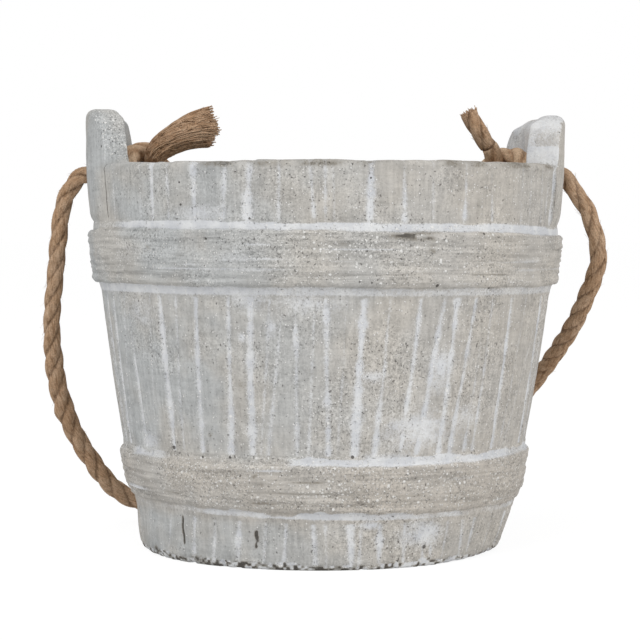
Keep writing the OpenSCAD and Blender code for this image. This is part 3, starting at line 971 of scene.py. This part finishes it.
def score_lines(skin, name):
    """Cuts the light lines of one stretch of the staves and fills them with lime."""
    lines, seed, top, low = STRETCHES[name]
    z = skin.home
    t = np.clip((top - z) / (top - low), 0, 1)
    ends = step(z, low - 1.5, low + 0.5)
    if name == "upper":
        staves = (skin.rows("upper") | skin.rows("cap") & (skin.r > RIM_R - 5)) & ~skin.ear
    else:
        staves = skin.rows(name)
        ends *= step(z, top + 1.5, top - 0.5)
    depth = np.zeros_like(z)
    for n, (top_angle, low_angle, top_strength, low_strength) in enumerate(with_back(lines, seed)):
        # Lines seven apart share their noise, at different heights
        kin = n % 7
        strength = top_strength + (low_strength - top_strength) * t
        strength *= 1 + 0.25 * line_noise(z + 77 * n, 5.0, 100 + kin)
        half = (0.28 + 0.42 * strength) * (1 + 0.25 * line_noise(z + 50 * n, 6.0, 80 + kin))
        off = skin.off(top_angle + (low_angle - top_angle) * t)
        off += 0.3 * line_noise(z + 31 * n, 15.0, 90 + kin)
        shown = ends * step(strength, 0.0, 0.5)
        trench = np.exp(-((off / half) ** 2)) * shown
        haze = np.exp(-((off / (1.9 * half)) ** 2)) * shown
        depth = np.maximum(depth, (0.08 + 0.24 * strength) * trench)
        wash = (0.65 * trench + 0.35 * haze) * np.clip(0.08 + 0.29 * strength, 0, 0.95)
        wash *= 1 + 0.3 * line_noise(z + 19 * n, 3.0, 110 + kin)
        skin.most("lime", wash, staves)
        skin.most("specks", haze * np.clip(0.3 * strength, 0, 0.6), staves)
    skin.push -= np.where(staves, depth, 0)


def shape_surface(skin):
    """Hand-made unevenness of the staves, hoops, rim, ears and foot."""
    staves = 0.2 * skin.wave(42, 3, 120) + 0.1 * skin.wave(240, 40, 121)
    skin.push += np.where(skin.rows("upper", "middle", "foot"), staves, 0)
    grain = 0.5 * skin.wave(9, 230, 122) + 0.32 * skin.wave(16, 150, 123)
    grain += 0.12 * skin.wave(260, 110, 124)
    skin.push += np.where(skin.rows(*FACES), grain, 0)
    skin.push += np.where(skin.rows(*EDGES), 0.18 * skin.wave(260, 80, 125), 0)
    skin.push += np.where(skin.rows("cap", "upper") & skin.ear, 0.15 * skin.wave(150, 30, 126), 0)
    skin.push += np.where(skin.rows(*INSIDE), 0.3 * skin.wave(40, 14, 127), 0)
    lift_hoops(skin)
    lower_rim(skin)
    near_foot = step(skin.z, 4.5, 0.5) * skin.rows("edge", "foot")
    chips = step(skin.wave(200, 0, 128) + 0.6 * skin.wave(70, 0, 129), 0.45, 1.1)
    skin.push += near_foot * (0.5 - 0.5 * chips + 0.25 * skin.wave(300, 120, 130))


def lift_hoops(skin):
    """The hoops' edges wander and tilt, and the lower hoop's foot is worn round."""
    wander = 0.35 * skin.wave(23, 0, 71) + 0.2 * skin.wave(95, 0, 72)
    for edge in LOWER_HOOP[:2] + UPPER_HOOP[:2]:
        skin.z += wander * np.exp(-((skin.home - edge) / 3.5) ** 2) * skin.outside
    for edge, lifts in EDGE_LIFTS.items():
        near = step(skin.home, edge - 18, edge - 2) * step(skin.home, edge + 10, edge + 1.5)
        skin.z += skin.by_angle(lifts, 360) * near * skin.outside * step(skin.r, 40, 80)
    over = (skin.r - wall_r(skin.home)) * skin.rows("lower_face", "lower_foot")
    skin.r -= 0.4 * over * step(skin.home, LOWER_HOOP[0] + 5, LOWER_HOOP[0] + 0.5)


def lower_rim(skin):
    """The rim waves, and dips over some of the joints."""
    rim = skin.rows("cap") & ~skin.ear
    waves = 0.2 + 0.25 * skin.wave(34, 0, 73) + 0.2 * skin.wave(110, 0, 74)
    skin.z += np.where(rim, waves, 0)
    for angle, half in RIM_DIPS:
        dip = np.exp(-(turn_to(skin.angle, angle) / half) ** 4)
        skin.z -= np.where(rim & (skin.r > RIM_R - 9), 0.8 * dip, 0)


def add_strip(skin, low, high, uneven, strength, seed):
    """Lime in a strip along a hoop's edge, with a ragged upper side."""
    top = high + uneven * skin.wave(130, 0, seed) + 0.7 * uneven * skin.wave(31, 0, seed + 1)
    bottom = low + 0.3 * uneven * skin.wave(90, 0, seed + 2)
    shape = step(skin.home, bottom - 0.9, bottom + 0.5) * step(skin.home, top + 0.5, top - 0.4)
    skin.most("lime", strength * shape, skin.outside)


def lime_hoops(skin):
    """Lime along the upper and lower edges of both hoops."""
    over_upper = 1 - 0.75 * step(np.abs(turn_to(skin.angle, 190)), 26, 14)
    over_lower = skin.by_angle(LIME_OVER_LOWER) + 0.25 * skin.wave(60, 0, 133)
    under_lower = skin.by_angle(LIME_UNDER_LOWER) + 0.3 * skin.wave(40, 0, 134)
    add_strip(skin, 147.3, 150.2, 0.35, over_upper, 132)
    add_strip(skin, 119.9, 123.2, 0.3, skin.by_angle(LIME_UNDER_UPPER), 135)
    add_strip(skin, 46.6, 49.6, 0.8, np.clip(over_lower, 0, 1), 138)
    add_strip(skin, 21.4, 23.6, 0.9, np.clip(under_lower, 0, 0.95), 141)


def settle_patches(skin):
    """Lime and dirt in the listed places."""
    cloudy = 1 + 0.3 * skin.wave(120, 60, 144) + 0.3 * skin.wave(30, 90, 153)
    for place in LIME_PATCHES:
        skin.most("lime", 0.85 * skin.patch(*place) * cloudy)
    broken = np.clip(0.8 + 0.7 * skin.wave(150, 120, 145), 0, 1)
    for place in DIRT_PATCHES:
        skin.most("dark", skin.patch(*place) * broken)


def add_cracks_and_shade(skin):
    # Cracks, and the painted shade line beside the left ear; only those on the foot are cut in
    for angle, low, high, half in CRACKS_AND_SHADE:
        off = skin.off(angle) + 0.4 * line_noise(skin.z, 4.0, 146)
        ends = step(skin.z, low - 0.6, low + 0.6) * step(skin.z, high + 0.6, high - 0.6)
        line = np.exp(-((off / half) ** 2)) * ends * skin.outside
        skin.most("dark", 1.5 * line)
        skin.push -= np.where(skin.rows("foot"), 0.7 * line, 0)


def wear(skin):
    """The mottled edge of the foot, the scuffed and brushed hoops and the soiled rim."""
    ragged = 3.6 + 0.9 * skin.wave(60, 0, 151)
    foot_edge = step(skin.z, ragged, ragged - 1.2) * skin.rows("edge", "foot", "under")
    mottled = skin.wave(330, 190, 147) + 0.4 * skin.wave(80, 30, 148)
    skin.most("dark", foot_edge * np.clip(0.35 + 1.6 * mottled, 0, 1.1))
    skin.most("lime", foot_edge * np.clip(0.3 - 1.6 * mottled, 0, 1))
    skin.most("specks", foot_edge)
    for kind, cells, least, seed in (("dark", (26, 210), 0.45, 154), ("lime", (20, 190), 0.4, 156)):
        brushed = step(skin.wave(*cells, seed), least, 0.9)
        brushed *= step(skin.wave(12, 20, seed + 1), -0.2, 0.5)
        skin.most(kind, 0.75 * brushed, skin.rows(*FACES))
    skin.most("dark", 0.2 + 0.1 * skin.wave(60, 40, 152), skin.rows("lower_face"))
    rim_edge = step(skin.z, RIM_H - 4.5, RIM_H - 1.5) * (skin.rows("cap", "upper") & ~skin.ear)
    right = step(np.abs(turn_to(skin.angle, 200)), 12, 40)
    skin.most("dark", rim_edge * right * np.clip(0.5 + 0.35 * skin.wave(90, 60, 149), 0, 1))


def crust(skin):
    """How thick the crusty specks are, and where the hoops' level grain runs."""
    lower, upper = skin.rows("lower_face", "lower_head"), skin.rows("upper_face", "upper_head")
    east = step(np.broadcast_to(skin.angle, skin.r.shape), 240, 275)
    specks = np.maximum(skin.by_angle(CRUST) + 0.15 * skin.wave(24, 14, 158), 0.05)
    specks = np.where(upper, 0.25 + 0.3 * east + 0.3 * skin.wave(16, 12, 159), specks)
    specks = np.where(lower, 0.7 + 0.3 * skin.wave(24, 20, 160), specks)
    skin.most("level", 1.0, lower | upper)

    left = np.cos(np.radians(skin.angle)) < 0
    ear_side = skin.ear & (skin.r < EAR_R - 0.5) & skin.rows("cap")
    skin.most("specks", np.where(ear_side & left, 1.0, specks))
    skin.most("lime", 0.5 + 0.3 * skin.wave(80, 30, 150), ear_side & ~left)
    beside_ear = np.abs(np.abs(turn_to(skin.angle, 0)) - EAR_HALF) < 0.7
    skin.most("lime", 0.75, beside_ear & skin.rows("cap") & ~left)
    inner = skin.rows("well", "cap") & (skin.r < EAR_IN + 4) & (skin.z > RIM_H - 4)
    skin.most("lime", 0.55, skin.ear & ~left & inner)


def bore_cutter():
    """A rod through both ears, where the rope's hole goes."""
    turn = full_turn(BORE_SIDES)
    y, z = BORE_R * np.cos(turn), BORE_Z + BORE_R * np.sin(turn)
    rod = Shape()
    rod.tube(np.array([np.stack([np.full(BORE_SIDES, x), y, z], axis=-1)
                       for x in (-1.2 * RIM_R, 1.2 * RIM_R)]))
    return in_scene("bore", rod.mesh("bore"))


def cut_rope_holes(made):
    cutter = bore_cutter()
    cut = made.modifiers.new("bore", "BOOLEAN")
    cut.operation = "DIFFERENCE"
    cut.solver = "MANIFOLD"
    cut.object = cutter
    bpy.context.view_layer.update()
    seen = made.evaluated_get(bpy.context.evaluated_depsgraph_get())
    uncut, rod = made.data, cutter.data
    holed = bpy.data.meshes.new_from_object(seen)
    made.modifiers.remove(cut)
    made.data = holed
    holed.set_sharp_from_angle(angle=math.radians(70))
    bpy.data.objects.remove(cutter)
    bpy.data.meshes.remove(rod)
    bpy.data.meshes.remove(uncut)


def pot_piece():
    skin = Skin()
    shape_surface(skin)
    for name in STRETCHES:
        score_lines(skin, name)
    for dress in (lime_hoops, settle_patches, add_cracks_and_shade, wear, crust):
        dress(skin)
    shape = Shape(*CEMENT_KINDS)
    shape.add(skin.points(), quads(*skin.r.shape, closed=True), **skin.kinds)
    cut_rope_holes(shape.piece("pot", CEMENT, "pot", "whitewashed_cement", "pot_casting"))


pot_piece()

# The studio: a white floor that keeps a faint shadow, a white world and two soft lamps.
# From here on places are in metres
FLOOR_HALF = 20.0
FLOOR_SHINE = 0.91
AMBIENT = 0.62
AIM = (0, 0, 0.1)


def add_floor():
    corners = [(x * FLOOR_HALF, y * FLOOR_HALF, 0) for x, y in ((-1, -1), (1, -1), (1, 1), (-1, 1))]
    mesh = bpy.data.meshes.new("floor")
    mesh.from_pydata(corners, [], [(0, 1, 2, 3)])
    material, s = new_material("floor_white")
    plain = s.out("BsdfDiffuse", {"Color": srgb(238, 238, 238)})
    shadowed = s.out("BsdfDiffuse", {"Color": (0.14, 0.14, 0.14, 1)})
    white = s.out("Emission", {"Color": PURE_WHITE, "Strength": FLOOR_SHINE})
    shown = s.out("AddShader", {0: shadowed, 1: white})
    mixed = s.out("MixShader", {0: s.seen(), 1: plain, 2: shown})
    s.fill(s.tree.nodes["Material Output"], {"Surface": mixed})
    mesh.materials.append(material)
    in_scene("floor", mesh)


def add_world():
    world = bpy.data.worlds.new("studio")
    bpy.context.scene.world = world
    world.use_nodes = True
    s = Shader(world.node_tree)
    level = s.out("MapRange", {0: s.seen(), 3: AMBIENT, 4: 1.0})
    s.fill(s.tree.nodes["Background"], {"Color": PURE_WHITE, "Strength": level})


def add_lamp(name, place, size, power):
    data = bpy.data.lights.new(name, "AREA")
    data.shape = "DISK"
    data.size = size
    data.energy = power
    lamp = in_scene(name, data)
    lamp.location = place
    lamp.rotation_euler = (Vector(AIM) - Vector(place)).to_track_quat("-Z", "Y").to_euler()


add_floor()
add_world()
add_lamp("key", (-0.9, -1.6, 1.7), 1.4, 20)
add_lamp("fill", (1.6, -1.2, 0.9), 1.2, 11)

bpy.context.scene.view_settings.view_transform = "Standard"
